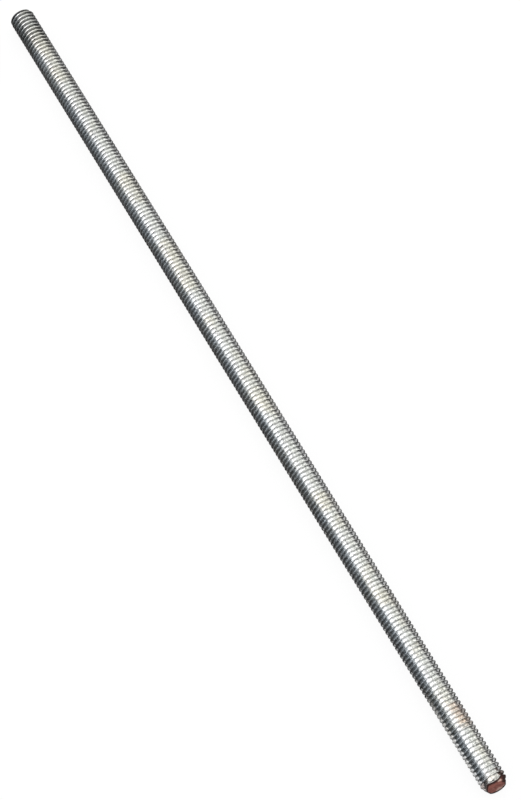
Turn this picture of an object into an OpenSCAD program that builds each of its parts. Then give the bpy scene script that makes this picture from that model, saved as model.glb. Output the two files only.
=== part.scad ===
// Fully threaded rod: one bar of steel with a right-hand thread rolled along
// its whole length. One end is cut off plain, with only a narrow bevel, and
// the other has the long bevel that starts a nut. Millimetres.
// The rod lies along +X and starts at the origin, which is the middle of the
// plain end's face.

/* [Rod] */
// Length from one cut face to the other
rod_l = 304.8; // [25.4:12.7:304.8]

/* [Thread] */
// Diameter over the crests
major_d = 7.9375; // [7.9375:0.0625:16]
// Threads in one inch of length
threads_per_inch = 18; // [14:1:20]
// Depth of the groove, as a share of the pitch
groove_ratio = 0.6134; // [0.5:0.0067:0.65]
// Angle round the rod, from +Y towards +Z, at which a crest leaves the plain end
thread_start_deg = 130; // [0:10:350]
// Straight steps that make up one turn of the thread
turn_steps = 12; // [8:1:12]

/* [Plain end] */
// Diameter of the bevel where it meets the face
plain_face_d = 7.1; // [6.3:0.1:7.7]
// Length of the bevel along the rod
plain_bevel_l = 0.5; // [0.2:0.1:2]

/* [Painted end] */
// Diameter of the flat face
painted_face_d = 5.3; // [4:0.1:5.7]
// Length of the bevel along the rod
painted_bevel_l = 2.2; // [0.8:0.1:4]

/* [Hidden] */

pitch = 25.4 / threads_per_inch;
crest_r = major_d / 2;
root_r = crest_r - groove_ratio * pitch;
plain_face_r = plain_face_d / 2;
painted_face_r = painted_face_d / 2;
step_l = pitch / turn_steps;
step_deg = 360 / turn_steps;

// Each step along the helix has two points: 0 is on the crest, and 1 is on the
// root, half a pitch further on.
CREST = 0;
ROOT = 1;

// The helix is wound from at least one turn before the plain end to at least
// one turn past the painted end, so that no turn between them has a gap.
start_turns = thread_start_deg / 360;
steps = ceil((rod_l + (1.5 + start_turns) * pitch) / step_l) + turn_steps;

function along(i, k) = pitch * (i / turn_steps - start_turns - 1 + k / 2);

// Radius of the plain screw thread at the distance x along the rod, in the
// direction of step i
function turns_off_crest(x, i) = let (t = x / pitch - i / turn_steps + start_turns) abs(t - round(t));
function thread_r(x, i) = crest_r - 2 * turns_off_crest(x, i) * (crest_r - root_r);

// Largest radius that the two bevels leave at the distance x along the rod
function plain_bevel_r(x) = plain_face_r + x * (crest_r - plain_face_r) / plain_bevel_l;
function painted_bevel_r(x) =
    painted_face_r + (rod_l - x) * (crest_r - painted_face_r) / painted_bevel_l;
function bevel_r(x) = min(plain_bevel_r(x), painted_bevel_r(x));

function ring_point(x, i, r) = [x, r * cos(i * step_deg), r * sin(i * step_deg)];

function rim_point(x, i) = ring_point(x, i, min(thread_r(x, i), bevel_r(x)));

function helix_point(i, k) =
    let (x = min(max(along(i, k), 0), rod_l))
    ring_point(x, i, min(k == CREST ? crest_r : root_r, bevel_r(x)));

// Points: the rim of the plain face, the rim of the painted face, the helix
rim_points = [for (x = [0, rod_l], i = [0 : turn_steps - 1]) rim_point(x, i)];
helix_points = [for (i = [0 : steps], k = [CREST, ROOT]) helix_point(i, k)];

// A point of the helix that would lie past an end, or within half a step of
// it, is the rim point of that end in the same direction.
function past_plain_end(i, k) = along(i, k) < step_l / 2;
function past_painted_end(i, k) = along(i, k) > rod_l - step_l / 2;

function point_id(i, k) =
    past_plain_end(i, k) ? i % turn_steps :
    past_painted_end(i, k) ? turn_steps + i % turn_steps :
    2 * turn_steps + 2 * i + k;

// A flank joins the crest to the root beside it, or that root to the next
// turn's crest. Each step of a flank is two triangles, and those that shrink
// to nothing past the ends are left out.
function flank_step(a0, a1, b0, b1) = [[a0, b1, a1], [a0, b0, b1]];

function has_area(t) = t[0] != t[1] && t[1] != t[2] && t[2] != t[0];

crest_to_root = [for (i = [0 : steps - 1])
    each flank_step(point_id(i, CREST), point_id(i + 1, CREST),
                    point_id(i, ROOT), point_id(i + 1, ROOT))];

root_to_crest = [for (i = [0 : steps - 1 - turn_steps])
    each flank_step(point_id(i, ROOT), point_id(i + 1, ROOT),
                    point_id(i + turn_steps, CREST), point_id(i + turn_steps + 1, CREST))];

flanks = [for (t = concat(crest_to_root, root_to_crest)) if (has_area(t)) t];

plain_face = [for (i = [0 : turn_steps - 1]) i];
painted_face = [for (i = [0 : turn_steps - 1]) 2 * turn_steps - 1 - i];

module threaded_rod() {
    color("silver")
        polyhedron(points = concat(rim_points, helix_points),
                   faces = concat([plain_face, painted_face], flanks),
                   convexity = 4);
}

threaded_rod();
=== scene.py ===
import math

import bpy
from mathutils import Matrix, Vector


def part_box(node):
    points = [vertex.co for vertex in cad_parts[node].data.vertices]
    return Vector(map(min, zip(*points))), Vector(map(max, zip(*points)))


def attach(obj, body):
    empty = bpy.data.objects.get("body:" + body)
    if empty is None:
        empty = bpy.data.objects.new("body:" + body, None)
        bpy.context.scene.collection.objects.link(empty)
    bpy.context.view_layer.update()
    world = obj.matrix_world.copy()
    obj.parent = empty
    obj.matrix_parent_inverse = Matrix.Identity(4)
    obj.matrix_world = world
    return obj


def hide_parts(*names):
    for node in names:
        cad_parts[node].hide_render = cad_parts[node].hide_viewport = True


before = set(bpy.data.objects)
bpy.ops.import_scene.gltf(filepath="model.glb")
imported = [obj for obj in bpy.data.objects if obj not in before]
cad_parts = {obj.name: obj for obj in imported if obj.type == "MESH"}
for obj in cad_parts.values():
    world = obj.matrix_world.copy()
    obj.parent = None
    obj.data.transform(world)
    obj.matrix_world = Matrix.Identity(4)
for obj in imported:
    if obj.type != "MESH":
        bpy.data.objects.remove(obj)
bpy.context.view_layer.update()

scene = bpy.context.scene
scene.view_settings.view_transform = "Standard"

# ---------------------------------------------------------------- threaded rod
# One bar of low-carbon steel, its right-hand thread rolled over the whole
# length and then zinc plated bright. Rolling leaves rounded crests and round
# roots; one end is cut off plain and the other has a long starting bevel.

MM = 0.001
INCH = 0.0254
THREADS_PER_INCH = 18
THREAD_START_DEG = 130
PLAIN_FACE_DIAMETER = 7.1 * MM
PLAIN_BEVEL_LENGTH = 0.5 * MM
PAINTED_FACE_DIAMETER = 5.3 * MM
PAINTED_BEVEL_LENGTH = 2.2 * MM

GROOVE_DEPTH = 0.6134       # all four in pitches
CREST_HALF_WIDTH = 0.0625
CREST_ROUNDING = 0.16
ROOT_RADIUS = 0.1443
FLANK_DEG = 30              # each flank leans this far from square to the axis
STEPS_ROUND = 36
ROWS_PER_TURN = 12
ROW_CROWDING = 0.8          # how far the rows bunch up at crest and root
SPARE_TURNS = 3             # wound past the ends, where their rows merge into the rims
FACE_RINGS = 6
SHARP_EDGE = 0.4            # radians; an edge round a face that turns more is sharp
SEAM = 0.002 * MM           # vertices closer than this are one

rod_low, rod_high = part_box("threaded_rod")
rod_length = rod_high.x - rod_low.x
major_diameter = rod_high.z - rod_low.z
major_radius = major_diameter / 2
pitch = INCH / THREADS_PER_INCH


class Wire:
    """One output of a node. Arithmetic on it adds Math nodes to its tree."""

    def __init__(self, nodes, socket):
        self.nodes = nodes
        self.socket = socket

    def __add__(self, other):
        return self.nodes.math("ADD", self, other)

    def __radd__(self, other):
        return self.nodes.math("ADD", other, self)

    def __sub__(self, other):
        return self.nodes.math("SUBTRACT", self, other)

    def __rsub__(self, other):
        return self.nodes.math("SUBTRACT", other, self)

    def __mul__(self, other):
        return self.nodes.math("MULTIPLY", self, other)

    def __rmul__(self, other):
        return self.nodes.math("MULTIPLY", other, self)

    def __truediv__(self, other):
        return self.nodes.math("DIVIDE", self, other)

    def __rtruediv__(self, other):
        return self.nodes.math("DIVIDE", other, self)


class Nodes:
    """Adds nodes to one tree, each with its settings first and then its sockets."""

    def __init__(self, tree):
        self.tree = tree

    def add(self, kind, settings=None, sockets=None):
        node = self.tree.nodes.new(kind)
        for name, value in (settings or {}).items():
            if name == "stops":
                ramp = node.color_ramp.elements
                while len(ramp) < len(value):
                    ramp.new(1.0)
                for element, (place, colour) in zip(ramp, value):
                    element.position = place
                    element.color = colour
            else:
                setattr(node, name, value)
        for name, value in (sockets or {}).items():
            for one in value if isinstance(value, list) else [value]:
                if isinstance(one, Wire):
                    self.tree.links.new(one.socket, node.inputs[name])
                else:
                    node.inputs[name].default_value = one
        return node

    def wire(self, kind, settings=None, sockets=None, output=0):
        return Wire(self, self.add(kind, settings, sockets).outputs[output])

    def math(self, operation, *values):
        return self.wire("ShaderNodeMath", {"operation": operation}, dict(enumerate(values)))

    def parts(self, vector):
        node = self.add("ShaderNodeSeparateXYZ", sockets={0: vector})
        return [Wire(self, out) for out in node.outputs]

    def vector(self, x, y, z):
        return self.wire("ShaderNodeCombineXYZ", sockets={0: x, 1: y, 2: z})


def wind_thread(sizes, material):
    """A tree that winds a grid round the axis, row by row along the helix."""
    tree = bpy.data.node_groups.new("wind_thread", "GeometryNodeTree")
    for name in sizes:
        tree.interface.new_socket(name, in_out="INPUT", socket_type="NodeSocketFloat")
    tree.interface.new_socket("Geometry", in_out="OUTPUT", socket_type="NodeSocketGeometry")
    nodes = Nodes(tree)
    given = nodes.add("NodeGroupInput")
    size = {name: Wire(nodes, given.outputs[name]) for name in sizes}
    length = size["Length"]
    turn = size["Pitch"]
    crest_r = size["Major Diameter"] / 2
    start = size["Start Turns"]
    full_turn = 2 * math.pi

    def grid(columns, rows):
        """A flat grid, with each vertex's column and row counted from 0."""
        mesh = nodes.wire("GeometryNodeMeshGrid", sockets={
            "Size X": 1.0, "Size Y": 1.0,
            "Vertices X": columns + 1, "Vertices Y": rows + 1})
        x, y, z = nodes.parts(nodes.wire("GeometryNodeInputPosition"))
        column = nodes.math("ROUND", (x + 0.5) * columns)
        row = nodes.math("ROUND", (y + 0.5) * rows)
        return mesh, column, row

    def place(mesh, x, radius, column):
        angle = column * (full_turn / STEPS_ROUND)
        spot = nodes.vector(x, radius * nodes.math("COSINE", angle),
                            radius * nodes.math("SINE", angle))
        return nodes.wire("GeometryNodeSetPosition", sockets={"Geometry": mesh, "Position": spot})

    def surface_radius(x, column):
        """Rolled thread with the two end bevels taken off it."""
        turns = x / turn - column / STEPS_ROUND + start
        off_crest = nodes.math("ABSOLUTE", turns - nodes.math("ROUND", turns))
        slope = 1 / math.tan(math.radians(FLANK_DEG))
        flank = (off_crest - CREST_HALF_WIDTH) * slope
        dark_line = nodes.math("SMOOTH_MAX", flank, 0.0, CREST_ROUNDING)
        root_centre = GROOVE_DEPTH - ROOT_RADIUS
        off_root = 0.5 - off_crest
        inside = nodes.math("MAXIMUM", ROOT_RADIUS ** 2 - off_root * off_root, 0.0)
        bowl = root_centre + nodes.math("SQRT", inside)
        bowl_half = ROOT_RADIUS * math.cos(math.radians(FLANK_DEG))
        in_bowl = nodes.math("LESS_THAN", off_root, bowl_half)
        depth = dark_line + in_bowl * (bowl - dark_line)
        thread = crest_r - depth * turn
        plain_r = size["Plain Face Diameter"] / 2
        painted_r = size["Painted Face Diameter"] / 2
        plain_bevel = plain_r + x * (crest_r - plain_r) / size["Plain Bevel Length"]
        to_painted = length - x
        painted_bevel = painted_r + to_painted * (crest_r - painted_r) / size["Painted Bevel Length"]
        return nodes.math("MINIMUM", thread, nodes.math("MINIMUM", plain_bevel, painted_bevel))

    turns_wound = nodes.math("CEIL", length / turn) + SPARE_TURNS
    wound, column, row = grid(STEPS_ROUND, turns_wound * ROWS_PER_TURN)
    whole = nodes.math("FLOOR", (row + 0.5) / ROWS_PER_TURN)
    share = row / ROWS_PER_TURN - whole
    crowd = ROW_CROWDING / (2 * full_turn)
    along = whole + share - crowd * nodes.math("SINE", share * (2 * full_turn))
    x = turn * (along + column / STEPS_ROUND - start - 1)
    x = nodes.math("MINIMUM", nodes.math("MAXIMUM", x, 0.0), length)
    wound = place(wound, x, surface_radius(x, column), column)

    def face(x, inwards):
        mesh, column, ring = grid(STEPS_ROUND, FACE_RINGS)
        share = (FACE_RINGS - ring) / FACE_RINGS if inwards else ring / FACE_RINGS
        return place(mesh, x, share * surface_radius(x, column), column)

    plain_face = face(0.0, inwards=False)
    painted_face = face(length, inwards=True)
    joined = nodes.wire("GeometryNodeJoinGeometry", sockets={0: [wound, plain_face, painted_face]})
    closed = nodes.wire("GeometryNodeMergeByDistance",
                        sockets={"Geometry": joined, "Distance": SEAM})
    x, y, z = nodes.parts(nodes.wire("GeometryNodeInputPosition"))
    at_plain = nodes.math("LESS_THAN", x, SEAM)
    at_painted = nodes.math("GREATER_THAN", x, length - SEAM)
    edge_angle = nodes.wire("GeometryNodeInputMeshEdgeAngle")
    sharp = nodes.math("GREATER_THAN", edge_angle, SHARP_EDGE) * (at_plain + at_painted)
    smooth = nodes.wire("GeometryNodeSetShadeSmooth", {"domain": "FACE"},
                        {"Geometry": closed, "Shade Smooth": True})
    edged = nodes.wire("GeometryNodeSetShadeSmooth", {"domain": "EDGE"},
                       {"Geometry": smooth, "Selection": sharp, "Shade Smooth": False})
    real = nodes.wire("GeometryNodeRealizeInstances", sockets={"Geometry": edged})
    finished = nodes.wire("GeometryNodeSetMaterial",
                          sockets={"Geometry": real, "Material": material})
    nodes.add("NodeGroupOutput", sockets={"Geometry": finished})
    return tree


def bake(name, tree, sizes):
    """Runs a tree on an empty mesh and keeps the result as a plain mesh."""
    carrier = bpy.data.objects.new(name, bpy.data.meshes.new(name))
    scene.collection.objects.link(carrier)
    modifier = carrier.modifiers.new("wind", "NODES")
    modifier.node_group = tree
    for item in tree.interface.items_tree:
        if item.in_out == "INPUT":
            modifier[item.identifier] = sizes[item.name]
    evaluated = carrier.evaluated_get(bpy.context.evaluated_depsgraph_get())
    mesh = bpy.data.meshes.new_from_object(evaluated)
    carrier.modifiers.remove(modifier)
    carrier.data = mesh
    return carrier


class FinishNodes(Nodes):
    """The nodes that a finish or a light is made of."""

    def __init__(self, owner):
        """Starts on the emptied tree of a material or of the world."""
        owner.use_nodes = True
        owner.node_tree.nodes.clear()
        super().__init__(owner.node_tree)

    def noise(self, vector, size, detail=2):
        """Soft noise from 0 to 1 whose lumps are about as big as the size given."""
        return self.wire("ShaderNodeTexNoise", sockets={
            "Vector": vector, "Scale": 1 / size, "Detail": float(detail)})

    def between(self, value, zero_at, one_at):
        """Rises smoothly from 0 to 1 as the value goes from one place to the other."""
        return self.wire("ShaderNodeMapRange", {"interpolation_type": "SMOOTHSTEP"},
                         {0: value, 1: zero_at, 2: one_at})

    def near(self, value, middle, zero_off, one_off):
        """1 close to the middle, fading to 0 at the larger distance off it."""
        return self.between(self.math("ABSOLUTE", value - middle), zero_off, one_off)

    def ramp(self, value, stops):
        """Colours joined by straight lines, for a value from 0 to 1."""
        return self.wire("ShaderNodeValToRGB", {"stops": stops}, {0: value})

    def curve(self, value, points):
        """Numbers joined by straight lines, for a value from -1 to 1."""
        return self.ramp((value + 1) / 2, [
            ((place + 1) / 2, (number, number, number, 1)) for place, number in points])

    def mix(self, share, first, second, blend="MIX"):
        return self.wire("ShaderNodeMix", {"data_type": "RGBA", "blend_type": blend},
                         {0: share, 6: first, 7: second}, output=2)

    def tint(self, colour, film):
        """A colour as it looks through a film of another."""
        return self.mix(1.0, colour, film, "MULTIPLY")

    def grey(self, value):
        return self.wire("ShaderNodeCombineColor", sockets={0: value, 1: value, 2: value})


def uneven(noise, amount):
    """Up to half the amount either way, to push an edge or a tone about."""
    return (noise - 0.5) * amount


zinc = bpy.data.materials.new("bright_zinc")
nodes = FinishNodes(zinc)
spot = nodes.wire("ShaderNodeTexCoord", output="Object")
x, y, z = nodes.parts(spot)
radius = nodes.math("SQRT", y * y + z * z)
groove_depth = GROOVE_DEPTH * pitch
height = (radius / major_radius - 1) * (major_radius / groove_depth) + 1    # 0 root, 1 crest
from_plain = x - rod_low.x
from_painted = rod_high.x - x

# The plating is bright on the crests and in the roots. The flanks are darker:
# painted shade between the threads. It is the same all round the rod.
BRIGHT_ZINC = 0.95
SHADED_FLANK_ZINC = 0.60
WARM_ZINC = (1.0, 0.985, 0.94, 1)
COOL_ZINC = (0.985, 0.995, 1.0, 1)
WARM_BLOTCHES = (0.42, 0.64)        # values of the blotches' noise
BLOTCH = 9 * MM
THREAD_TONE = 4 * MM                # neighbouring threads differ a little in tone,
THREAD_TONE_SQUEEZE = 3             # so this noise changes faster along the rod
RAGGED = 0.9 * MM
GRAIN = 0.5 * MM
DENT = 1.2 * MM
MEAN_TONE, BRIGHTEST_TONE = 0.90, 1.06
TONE_BY_THREAD, TONE_BY_GRAIN = 0.40, 2.0
FLANK_FROM, FLANK_TO = (0.22, 0.48), (1.00, 0.90)   # heights in the thread
SHADE_TOWARDS_PLAIN = (110 * MM, 20 * MM)     # painted shade: the flanks are darker towards the plain end
SHADE_TOWARDS_PLAIN_LOSS = 0.14
SHADE_AT_PLAIN_END = (20 * MM, 9 * MM)        # and at the end itself more of each flank is shaded
SHADE_AT_PLAIN_END_LOSS = 0.35
SHADE_AT_PLAIN_END_DEEPER = 0.26

blotches = nodes.noise(spot, BLOTCH, detail=3)
threads = nodes.noise(nodes.vector(x * THREAD_TONE_SQUEEZE, y, z), THREAD_TONE)
ragged = nodes.noise(spot, RAGGED, detail=3)
grain = nodes.noise(spot, GRAIN, detail=4)
dents = nodes.noise(spot, DENT)
tone = MEAN_TONE + uneven(threads, TONE_BY_THREAD) + uneven(grain, TONE_BY_GRAIN)
tone = nodes.math("MINIMUM", tone, BRIGHTEST_TONE)
zinc_colour = nodes.mix(nodes.between(blotches, *WARM_BLOTCHES), COOL_ZINC, WARM_ZINC)

# The plain end was sawn off before plating. The cut shows fine saw lines, and
# its bevel is darkened all round, in ragged patches.
SAWN_SKIN = (0.06 * MM, 0.02 * MM)  # distances from the end over which the cut begins
SAW_LINE = 0.16 * MM
SAW_LINE_STRETCH = 0.12             # the lines run across the face, along Y
DARK_BEVEL = (0.62 * MM, 0.42 * MM)
DARK_BEVEL_RAGGED = 0.3 * MM
DARK_BEVEL_AMOUNT, DARK_BEVEL_MOTTLE = 1.05, 0.5
SAWN_DARK, SAWN_MOTTLE = 0.42, 0.6

saw_marks = nodes.noise(nodes.vector(x, y * SAW_LINE_STRETCH, z), SAW_LINE, detail=3)
sawn = nodes.between(from_plain, *SAWN_SKIN)
# the plain end's bevel is darkened all round
dark_bevel = nodes.between(from_plain + uneven(grain, DARK_BEVEL_RAGGED), *DARK_BEVEL) * (1 - sawn)
# painted shade on the flanks grows towards the plain end
shade_towards_plain = nodes.between(from_plain, *SHADE_TOWARDS_PLAIN)
shade_at_plain_end = nodes.between(from_plain, *SHADE_AT_PLAIN_END)
flank = nodes.between(height + shade_at_plain_end * SHADE_AT_PLAIN_END_DEEPER, *FLANK_FROM)
flank = flank * nodes.between(height, *FLANK_TO) * (1 - sawn)
# painted shade: the flanks are darker than crests and roots, more so towards the plain end
flank_shade = SHADED_FLANK_ZINC * (1 - shade_towards_plain * SHADE_TOWARDS_PLAIN_LOSS) * (1 - shade_at_plain_end * SHADE_AT_PLAIN_END_LOSS)
lustre_and_shade = BRIGHT_ZINC + flank * (flank_shade - BRIGHT_ZINC)
lustre_and_shade = lustre_and_shade * (1 - dark_bevel * (DARK_BEVEL_AMOUNT - ragged * DARK_BEVEL_MOTTLE))
lustre_and_shade = lustre_and_shade * (1 - sawn * (SAWN_DARK - saw_marks * SAWN_MOTTLE))
plating = nodes.tint(zinc_colour, nodes.grey(tone * lustre_and_shade))

# Red-brown paint was dabbed on the other end with the rod lying down. Its tone
# varies with its thickness; it is darker on the bevel, lighter in a patch low on
# the face and in a streak across the bevel. A dark line runs inside its edge, and
# painted shade darkens the lower edge of the face and the +Y side of the bevel.
PAINT = (0.30, 0.115, 0.095, 1)
PAINT_DARK = (0.19, 0.068, 0.053, 1)
PAINT_LIGHT_STREAK = (0.62, 0.43, 0.36, 1)
PAINT_LIGHT_PATCH = (0.42, 0.28, 0.24, 1)
# the colour of the dark line and of the painted shade
PAINT_LINE_AND_SHADE = (0.020, 0.011, 0.010, 1)
PAINT_TOP_DEG = 106                 # the side that was up, from +Y towards +Z
PAINT_REACH = [                     # millimetres back from the face, by the place across the rod
    (-1.0, 0.7), (-0.85, 1.0), (-0.57, 1.45), (-0.3, 1.3), (0.0, 1.1),
    (0.3, 1.15), (0.5, 1.35), (0.75, 1.9), (0.9, 2.7), (1.0, 2.9)]
PAINT_EDGE = (-0.10 * MM, 0.10 * MM)
PAINT_EDGE_RAGGED = 0.26 * MM
FACE_SKIN = (0.06 * MM, 0.02 * MM)  # distances from the end over which the face begins
THICK = (0.45, 0.75)                # values of the noise in the paint's thickness
THICK_GRAIN = 0.3
DARKER_ON_BEVEL = 0.6
LIGHT_PATCH_BELOW, LIGHT_PATCH_BELOW_RAGGED = (0.05, -0.25), 1.1    # heights on the face, 1 at its top
LIGHT_PATCH_ASIDE, LIGHT_PATCH_ASIDE_RAGGED = (-0.65, -0.35), 1.2   # places across the rod
LIGHT_PATCH_KEPT_DARK = 0.45            # the share of the darker paint that the patch leaves
STREAK_BACK = 0.80 * MM
STREAK_BACK_REACH, STREAK_BACK_RAGGED = (0.42 * MM, 0.16 * MM), 0.5 * MM
STREAK_ASIDE = 0.53
STREAK_ASIDE_REACH, STREAK_ASIDE_RAGGED = (0.24, 0.10), 0.3
DARK_LINE = (0.66 * MM, 0.42 * MM)      # how far inside its edge the paint is darkened into a line
# painted shade along the lower edge of the face
FACE_SHADE_FROM = PAINTED_FACE_DIAMETER / 2 - 0.50 * MM
FACE_SHADE_FULL = PAINTED_FACE_DIAMETER / 2 - 0.10 * MM
FACE_SHADE_DROP = 0.9 * MM                # the painted shade is this much wider at the bottom of the face
FACE_SHADE_RAGGED = 0.2 * MM
# painted shade on the +Y side of the bevel
BEVEL_SHADE_ASIDE, BEVEL_SHADE_RAGGED = (0.62, 0.84), 0.3
LINE_AND_SHADE_SHARE = 0.9

up = math.radians(PAINT_TOP_DEG)
aside = (y * math.sin(up) - z * math.cos(up)) / nodes.math("MAXIMUM", radius, SEAM)
top = (y * math.cos(up) + z * math.sin(up)) / (PAINTED_FACE_DIAMETER / 2)
on_face = nodes.between(from_painted, *FACE_SKIN)
inside = nodes.curve(aside, PAINT_REACH) * MM - from_painted + uneven(ragged, PAINT_EDGE_RAGGED)
covered = nodes.between(inside, *PAINT_EDGE)
darker_paint = nodes.between(ragged + grain * THICK_GRAIN, *THICK)
# the paint is darker on the bevel than on the face
darker_paint = nodes.math("MAXIMUM", darker_paint, (1 - on_face) * DARKER_ON_BEVEL)
# a lighter patch low on the face
light_patch = nodes.between(top + uneven(ragged, LIGHT_PATCH_BELOW_RAGGED), *LIGHT_PATCH_BELOW) * on_face
light_patch = light_patch * nodes.between(aside + uneven(grain, LIGHT_PATCH_ASIDE_RAGGED), *LIGHT_PATCH_ASIDE)
# a lighter streak across the bevel
light_streak = nodes.near(from_painted + uneven(ragged, STREAK_BACK_RAGGED), STREAK_BACK, *STREAK_BACK_REACH)
light_streak = light_streak * nodes.near(aside + uneven(ragged, STREAK_ASIDE_RAGGED), STREAK_ASIDE, *STREAK_ASIDE_REACH)
# a dark line just inside the paint's edge
dark_line = nodes.between(inside, *DARK_LINE)
# painted shade in a crescent along the lower edge of the face
face_shade_place = radius - top * FACE_SHADE_DROP + uneven(ragged, FACE_SHADE_RAGGED)
face_shade = nodes.between(face_shade_place, FACE_SHADE_FROM, FACE_SHADE_FULL) * on_face
# painted shade on the +Y side of the bevel
bevel_shade = nodes.between(aside + uneven(ragged, BEVEL_SHADE_RAGGED), *BEVEL_SHADE_ASIDE) * (1 - on_face)
# the dark line, with the painted shade on the face and on the bevel
line_and_shade = nodes.math("MAXIMUM", face_shade, nodes.math("MAXIMUM", dark_line, bevel_shade) * LINE_AND_SHADE_SHARE)
paint = nodes.mix(light_streak, nodes.mix(darker_paint, PAINT, PAINT_DARK), PAINT_LIGHT_STREAK)
paint = nodes.mix(light_patch * (1 - darker_paint * LIGHT_PATCH_KEPT_DARK), paint, PAINT_LIGHT_PATCH)
paint = nodes.mix(line_and_shade, paint, PAINT_LINE_AND_SHADE)

# Some of it was wiped off the threads next to the end, where it left a brown
# wash, and some was smeared thinly on the threads further back.
PAINT_FILM = (1.0, 0.82, 0.72, 1)
SMEAR_PLACE = 23.2 * MM             # from the painted face
SMEAR_HALF = 4.6 * MM
SMEAR_ENDS, SMEAR_RAGGED = (1.1, 0.5), 0.5      # in half lengths
SMEAR_ASIDE = (-0.3, 0.6)
SMEAR_SHARE = 0.60
HAZE_BACK, HAZE_SHARE = (5 * MM, 2 * MM), 0.12
PAINT_WASH = (0.42, 0.30, 0.26, 1)
WASH_RAGGED = 0.4
WASH_BACK, WASH_ASIDE = (4.3 * MM, 3.5 * MM), (0.62, 0.82)
WIPE_BACK, WIPE_ASIDE = (3.0 * MM, 2.3 * MM), (-0.32, -0.52)
WIPE_SHARE = 0.65
WASH_SHARE = 0.85

off_smear = nodes.math("ABSOLUTE", from_painted - SMEAR_PLACE) / SMEAR_HALF
smear = nodes.between(off_smear + uneven(ragged, SMEAR_RAGGED), *SMEAR_ENDS)
smear = smear * nodes.between(aside, *SMEAR_ASIDE)
haze = nodes.between(from_painted, *HAZE_BACK) * HAZE_SHARE
filmed = nodes.math("MAXIMUM", smear * SMEAR_SHARE, haze)
marked = nodes.mix(filmed, plating, nodes.tint(plating, PAINT_FILM))
wash_aside = aside + uneven(ragged, WASH_RAGGED)
washed = nodes.between(from_painted, *WASH_BACK) * nodes.between(wash_aside, *WASH_ASIDE)
wiped = nodes.between(from_painted, *WIPE_BACK) * nodes.between(wash_aside, *WIPE_ASIDE)
washed = nodes.math("MAXIMUM", washed, wiped * WIPE_SHARE) * WASH_SHARE
marked = nodes.mix(washed, marked, nodes.tint(marked, PAINT_WASH))

# The plating is polished, with soft grain and dents. The paint is matt, and it
# stands proud with a lumpy skin.
ZINC_ROUGHNESS = 0.11
ROOT_ROUGHER, GRAIN_ROUGHER, FILM_ROUGHER = 0.04, 0.10, 0.12
PAINT_ROUGHNESS = 0.52
PAINT_GLOSS = 0.12
GRAIN_RELIEF, DENT_RELIEF, SAW_RELIEF, PAINT_RELIEF = 1.1, 2.6, 1.5, 0.6
RELIEF_DEPTH = 0.07 * MM
RELIEF_STRENGTH = 0.50

roughness = ZINC_ROUGHNESS + (1 - height) * ROOT_ROUGHER
roughness = roughness + uneven(grain, GRAIN_ROUGHER) + filmed * FILM_ROUGHER
roughness = roughness + covered * (PAINT_ROUGHNESS - roughness)
relief = grain * GRAIN_RELIEF + dents * DENT_RELIEF + sawn * saw_marks * SAW_RELIEF
relief = relief + covered * (PAINT_RELIEF + ragged)
bumps = nodes.wire("ShaderNodeBump", sockets={
    "Strength": RELIEF_STRENGTH, "Distance": RELIEF_DEPTH, "Height": relief})
surface = nodes.wire("ShaderNodeBsdfPrincipled", sockets={
    "Base Color": nodes.mix(covered, marked, paint), "Metallic": 1 - covered,
    "Specular IOR Level": PAINT_GLOSS, "Roughness": roughness, "Normal": bumps})
nodes.add("ShaderNodeOutputMaterial", sockets={"Surface": surface})

rod_sizes = {
    "Length": rod_length, "Major Diameter": major_diameter, "Pitch": pitch,
    "Start Turns": THREAD_START_DEG / 360,
    "Plain Face Diameter": PLAIN_FACE_DIAMETER, "Plain Bevel Length": PLAIN_BEVEL_LENGTH,
    "Painted Face Diameter": PAINTED_FACE_DIAMETER, "Painted Bevel Length": PAINTED_BEVEL_LENGTH,
}
rod = bake("rod_thread", wind_thread(rod_sizes, zinc), rod_sizes)
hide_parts("threaded_rod")
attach(rod, "root")

# ----------------------------------------------------------------------- board
# The rod lies on a wide, plain pale board, lit so evenly that it looks almost
# white from above. The metal mirrors the room below it and not the board.

WHITE = (1, 1, 1, 1)
BOARD_SIDE = 6.0
BOARD_COLOUR = (0.8, 0.8, 0.8, 1)
BOARD_WHITE_SHARE = 0.85    # of the board's look that is plain white, not its shading
BOARD_WHITE_LIGHT = 1.06

board_z = rod_low.z


def sheet_of(name, low, high, z):
    """A flat level sheet between two corners."""
    (low_x, low_y), (high_x, high_y) = low, high
    corners = [(low_x, low_y, z), (high_x, low_y, z), (high_x, high_y, z), (low_x, high_y, z)]
    mesh = bpy.data.meshes.new(name)
    mesh.from_pydata(corners, [], [tuple(range(len(corners)))])
    sheet = bpy.data.objects.new(name, mesh)
    scene.collection.objects.link(sheet)
    return sheet


half = BOARD_SIDE / 2
board = sheet_of("floor", (-half, -half), (half, half), board_z)
board.visible_glossy = False

board_paint = bpy.data.materials.new("pale_board")
nodes = FinishNodes(board_paint)
camera_ray = nodes.wire("ShaderNodeLightPath", output="Is Camera Ray")
matt = nodes.wire("ShaderNodeBsdfDiffuse", sockets={"Color": BOARD_COLOUR})
white = nodes.wire("ShaderNodeEmission", sockets={"Color": WHITE, "Strength": BOARD_WHITE_LIGHT})
seen = nodes.wire("ShaderNodeMixShader", sockets={
    0: camera_ray * BOARD_WHITE_SHARE, 1: matt, 2: white})
nodes.add("ShaderNodeOutputMaterial", sockets={"Surface": seen})
board.data.materials.append(board_paint)

# ------------------------------------------------------------------ white card
# A narrow white card lies just above the board beside the painted end. It only
# brightens what the lower side of the thread mirrors, and fades out along it.

CARD_FROM = 270 * MM        # both from the plain end
CARD_FULL = 290 * MM
CARD_PAST_ROD = 30 * MM
CARD_NEAR, CARD_FAR = -4.5 * MM, -6.2 * MM
CARD_ABOVE_BOARD = 0.2 * MM
CARD_LIGHT = 1.05

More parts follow.
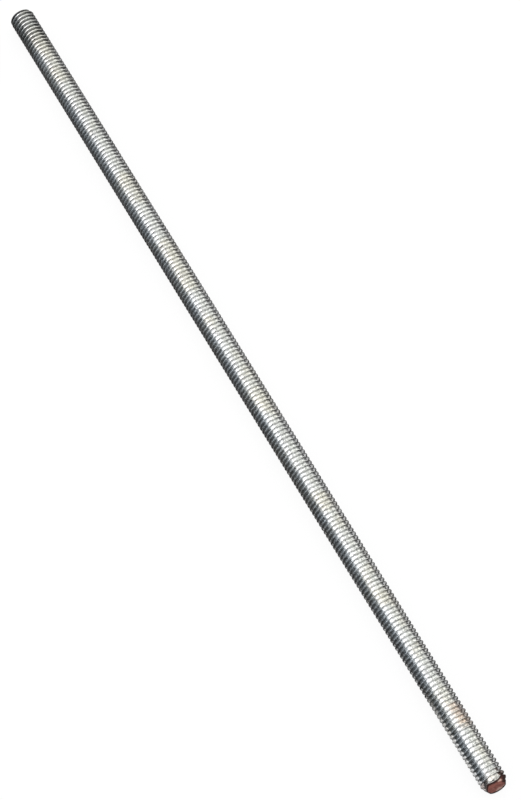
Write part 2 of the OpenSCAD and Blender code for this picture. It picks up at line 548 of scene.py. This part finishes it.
card = sheet_of("white_card", (rod_low.x + CARD_FROM, CARD_FAR),
                (rod_high.x + CARD_PAST_ROD, CARD_NEAR), board_z + CARD_ABOVE_BOARD)
card.visible_camera = False
card.visible_diffuse = False
card.visible_shadow = False

card_white = bpy.data.materials.new("white_card")
nodes = FinishNodes(card_white)
x, y, z = nodes.parts(nodes.wire("ShaderNodeTexCoord", output="Object"))
fade = nodes.between(x, rod_low.x + CARD_FROM, rod_low.x + CARD_FULL)
glow = nodes.wire("ShaderNodeEmission", sockets={"Color": WHITE, "Strength": fade * CARD_LIGHT})
nodes.add("ShaderNodeOutputMaterial", sockets={"Surface": glow})
card.data.materials.append(card_white)

# ------------------------------------------------------------------------ room
# The metal mirrors a room with a soft light overhead, a cool wall on the -Y
# side and a warmer one on the +Y side. Matt surfaces see plain white light from
# all round, and what the camera sees past the board is white.

BACKDROP_LIGHT = 1.0
PLAIN_LIGHT = 0.95

# The room's light by the angle round the rod: 0 is straight down, 90 is the +Y
# side and 180 is overhead.
ROOM = [
    (0, (0.60, 0.60, 0.60, 1)),     # below the rod
    (8, (0.30, 0.30, 0.30, 1)),
    (16, (0.08, 0.08, 0.08, 1)),
    (33, (0.06, 0.06, 0.06, 1)),
    (38, (0.42, 0.42, 0.42, 1)),    # a pale strip low on the +Y side
    (47, (0.82, 0.82, 0.82, 1)),
    (54, (0.82, 0.82, 0.82, 1)),
    (58, (0.07, 0.07, 0.07, 1)),
    (66, (0.15, 0.15, 0.15, 1)),
    (78, (0.30, 0.30, 0.30, 1)),
    (86, (0.42, 0.42, 0.42, 1)),
    (93, (0.54, 0.54, 0.53, 1)),    # the warmer wall
    (105, (1.16, 1.16, 1.11, 1)),
    (120, (1.24, 1.25, 1.18, 1)),
    (132, (0.84, 0.85, 0.80, 1)),
    (145, (0.91, 0.92, 0.86, 1)),
    (160, (1.25, 1.26, 1.19, 1)),
    (178, (1.45, 1.45, 1.41, 1)),
    (193, (1.85, 1.85, 1.82, 1)),   # the soft light overhead
    (211, (2.80, 2.80, 2.80, 1)),
    (223, (2.02, 2.05, 2.09, 1)),
    (235, (1.08, 1.13, 1.17, 1)),   # the cool wall
    (248, (0.80, 0.87, 0.925, 1)),
    (264, (0.60, 0.66, 0.72, 1)),
    (278, (0.41, 0.46, 0.505, 1)),
    (292, (0.38, 0.42, 0.45, 1)),
    (306, (0.37, 0.39, 0.405, 1)),
    (326, (0.34, 0.34, 0.35, 1)),
    (337, (0.13, 0.13, 0.13, 1)),
    (344, (0.03, 0.03, 0.03, 1)),
    (350, (1.50, 1.50, 1.50, 1)),   # a bright strip low on the -Y side
    (360, (1.50, 1.50, 1.50, 1)),
]

# Its share by how far the direction points along the rod, from -1 to 1.
LIGHT_ALONG_ROD = [
    (-1.0, 0.78), (-0.62, 0.82), (-0.46, 1.02), (0.43, 1.0), (0.56, 0.12), (1.0, 0.07)]

# Some sides have a further share of their own, between two angles over which it
# fades in and two over which it fades out.
SIDES = [
    ((18, 26, 54, 58), [
        (0.0, 0.10), (0.24, 1.0), (0.43, 1.0), (0.50, 1.8), (0.56, 5.0),
        (0.63, 5.0), (0.69, 0.3), (0.76, 0.3), (0.81, 7.0)]),
    ((58, 62, 88, 92), [
        (-0.62, 2.4), (-0.46, 1.2), (-0.34, 0.7), (0.43, 0.7), (0.56, 4.0),
        (0.63, 8.0), (0.69, 0.3), (0.78, 0.3), (0.82, 20.0)]),
    ((98, 112, 160, 186), [
        (-0.62, 1.4), (-0.46, 1.0), (-0.34, 0.88), (-0.26, 1.12), (0.43, 1.12),
        (0.56, 5.0), (1.0, 16.0)]),
    ((230, 250, 298, 306), [
        (-0.92, 0.15), (-0.72, 3.0), (-0.62, 3.6), (-0.54, 3.0), (-0.46, 1.15),
        (-0.34, 0.22), (0.43, 0.25), (0.56, 2.2), (0.80, 6.0), (1.0, 12.0)]),
    ((298, 306, 338, 345), [
        (-0.62, 1.3), (-0.46, 1.0), (-0.34, 0.4), (0.43, 0.4), (0.56, 1.6), (0.80, 2.2)]),
    ((340, 345, 361, 362), [
        (-0.5, 0.10), (0.0, 0.12), (0.18, 0.2), (0.32, 0.58), (0.43, 1.0), (0.52, 2.7)]),
]

world = bpy.data.worlds.new("studio")
scene.world = world
nodes = FinishNodes(world)
camera_ray = nodes.wire("ShaderNodeLightPath", output="Is Camera Ray")
glossy_ray = nodes.wire("ShaderNodeLightPath", output="Is Glossy Ray")
along, y, z = nodes.parts(nodes.wire("ShaderNodeTexCoord", output="Generated"))
round_rod = (nodes.math("ARCTAN2", 0 - y, z) / math.pi + 1) / 2
room_colour = nodes.ramp(round_rod, [(degrees / 360, colour) for degrees, colour in ROOM])
room_light = nodes.curve(along, LIGHT_ALONG_ROD)
for angles, shares in SIDES:
    fade_in, full, still_full, fade_out = [degrees / 360 for degrees in angles]
    on_side = nodes.between(round_rod, fade_in, full)
    on_side = on_side * nodes.between(round_rod, fade_out, still_full)
    room_light = room_light * (1 - on_side * (1 - nodes.curve(along, shares)))


def background(colour, strength):
    return nodes.wire("ShaderNodeBackground", sockets={"Color": colour, "Strength": strength})


lit = nodes.wire("ShaderNodeMixShader", sockets={
    0: glossy_ray, 1: background(WHITE, PLAIN_LIGHT), 2: background(room_colour, room_light)})
shown = nodes.wire("ShaderNodeMixShader", sockets={
    0: camera_ray, 1: lit, 2: background(WHITE, BACKDROP_LIGHT)})
nodes.add("ShaderNodeOutputWorld", sockets={"Surface": shown})

# ---------------------------------------------------------------------- camera
# It looks down on the rod from above and to one side, with the painted end
# nearest to it.

CAMERA_AZIMUTH_DEG = 62.24          # from -Y towards +X
CAMERA_ELEVATION_DEG = 58.36
CAMERA_DISTANCE = 0.8772
AIM_ALONG_ROD = 0.5377              # share of the rod's length, from the plain end
AIM_ASIDE = 0.73 * MM
LENS = 133.2
SENSOR = 36.0
NEAREST_SEEN, FARTHEST_SEEN = 0.01, 20

azimuth = math.radians(CAMERA_AZIMUTH_DEG)
elevation = math.radians(CAMERA_ELEVATION_DEG)
towards_camera = Vector((math.sin(azimuth) * math.cos(elevation),
                         -math.cos(azimuth) * math.cos(elevation), math.sin(elevation)))
aim = Vector((rod_low.x + AIM_ALONG_ROD * rod_length, AIM_ASIDE, 0.0))
camera = bpy.data.objects.new("camera", bpy.data.cameras.new("camera"))
scene.collection.objects.link(camera)
camera.data.lens = LENS
camera.data.sensor_width = SENSOR
camera.data.clip_start = NEAREST_SEEN
camera.data.clip_end = FARTHEST_SEEN
camera.location = aim + towards_camera * CAMERA_DISTANCE
camera.rotation_mode = "QUATERNION"
camera.rotation_quaternion = (-towards_camera).to_track_quat("-Z", "Y")
scene.camera = camera
